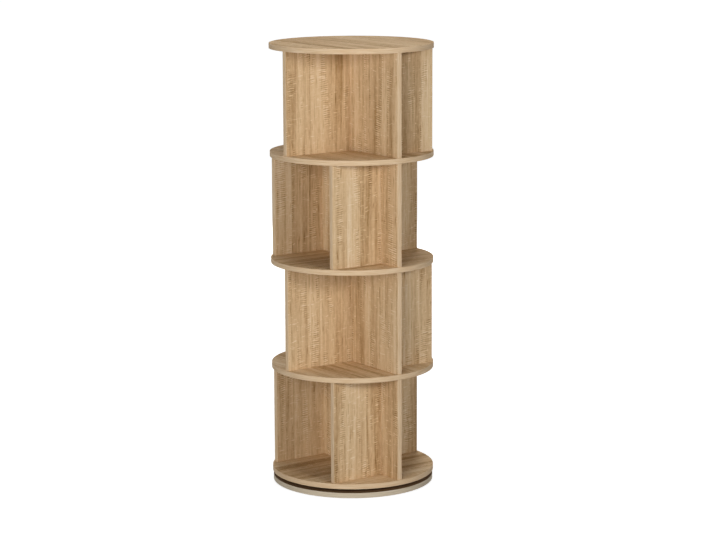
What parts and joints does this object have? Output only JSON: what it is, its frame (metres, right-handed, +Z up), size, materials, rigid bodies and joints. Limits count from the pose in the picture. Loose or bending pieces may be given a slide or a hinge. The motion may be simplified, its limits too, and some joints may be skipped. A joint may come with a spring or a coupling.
{
  "type": "revolving bookcase",
  "caption": "Tall round bookcase: tiers of upright boards between round shelves, turning on a ball-bearing turntable over a round base.",
  "frame": {"origin": "on the floor, on the axis that the case turns about", "axes": "+Z up along the turning axis; the centre uprights stand in the plane X = 0, and the picture looks from -X -Y, about 35 degrees round from -Y"},
  "size_m": [0.4799, 0.48, 1.304],
  "materials": {
    "oak_board": "oak-effect melamine on chipboard, matt with a pressed grain",
    "oak_edge_band": "oak-effect edge band, matt",
    "plate_steel": "pressed and zinc-plated",
    "bright_steel": "zinc-plated",
    "ball_steel": "ground and polished",
    "zinc": "die-cast zinc, plain",
    "nylon": "natural",
    "cap_plastic": "moulded, oak-coloured",
    "beech": "fluted dowel rod, bare",
    "felt": "pressed felt"
  },
  "bodies": {
    "base": {"base_board": "oak_board", "base_edge_band": "oak_edge_band", "felt_pads": "felt", "turntable_lower_plate": "plate_steel", "turntable_hub": "bright_steel", "lower_plate_screws": "bright_steel"},
    "cage": {"ball_cage": "nylon", "bearing_balls": "ball_steel"},
    "case": {"turntable_upper_plate": "plate_steel", "upper_plate_screws": "bright_steel", "bottom_board": "oak_board", "lower_shelf": "oak_board", "middle_shelf": "oak_board", "upper_shelf": "oak_board", "top_board": "oak_board", "bottom_board_edge_band": "oak_edge_band", "lower_shelf_edge_band": "oak_edge_band", "middle_shelf_edge_band": "oak_edge_band", "upper_shelf_edge_band": "oak_edge_band", "top_board_edge_band": "oak_edge_band", "centre_upright_1": "oak_board", "centre_upright_2": "oak_board", "centre_upright_3": "oak_board", "centre_upright_4": "oak_board", "radial_upright_1": "oak_board", "radial_upright_2": "oak_board", "radial_upright_3": "oak_board", "radial_upright_4": "oak_board", "left_side_upright_1": "oak_board", "left_side_upright_2": "oak_board", "left_side_upright_3": "oak_board", "left_side_upright_4": "oak_board", "right_side_upright_1": "oak_board", "right_side_upright_2": "oak_board", "right_side_upright_3": "oak_board", "right_side_upright_4": "oak_board", "centre_upright_edge_bands": "oak_edge_band", "radial_upright_edge_bands": "oak_edge_band", "side_upright_edge_bands": "oak_edge_band", "cam_locks": "zinc", "cam_cover_caps": "cap_plastic", "short_cam_bolts": "bright_steel", "long_cam_bolts": "bright_steel", "short_dowels": "beech", "long_dowels": "beech"}
  },
  "joints": [
    {"name": "case_turn", "type": "hinge", "parent": "base", "child": "case", "pos_m": [0, 0, 0.023], "axis": [0, 0, 1], "continuous": true},
    {"name": "cage_turn", "type": "hinge", "parent": "base", "child": "cage", "pos_m": [0, 0, 0.023], "axis": [0, 0, 1], "continuous": true}
  ],
  "couplings": [
    {"joint": "cage_turn", "follows": "case_turn", "ratio": 0.5}
  ]
}
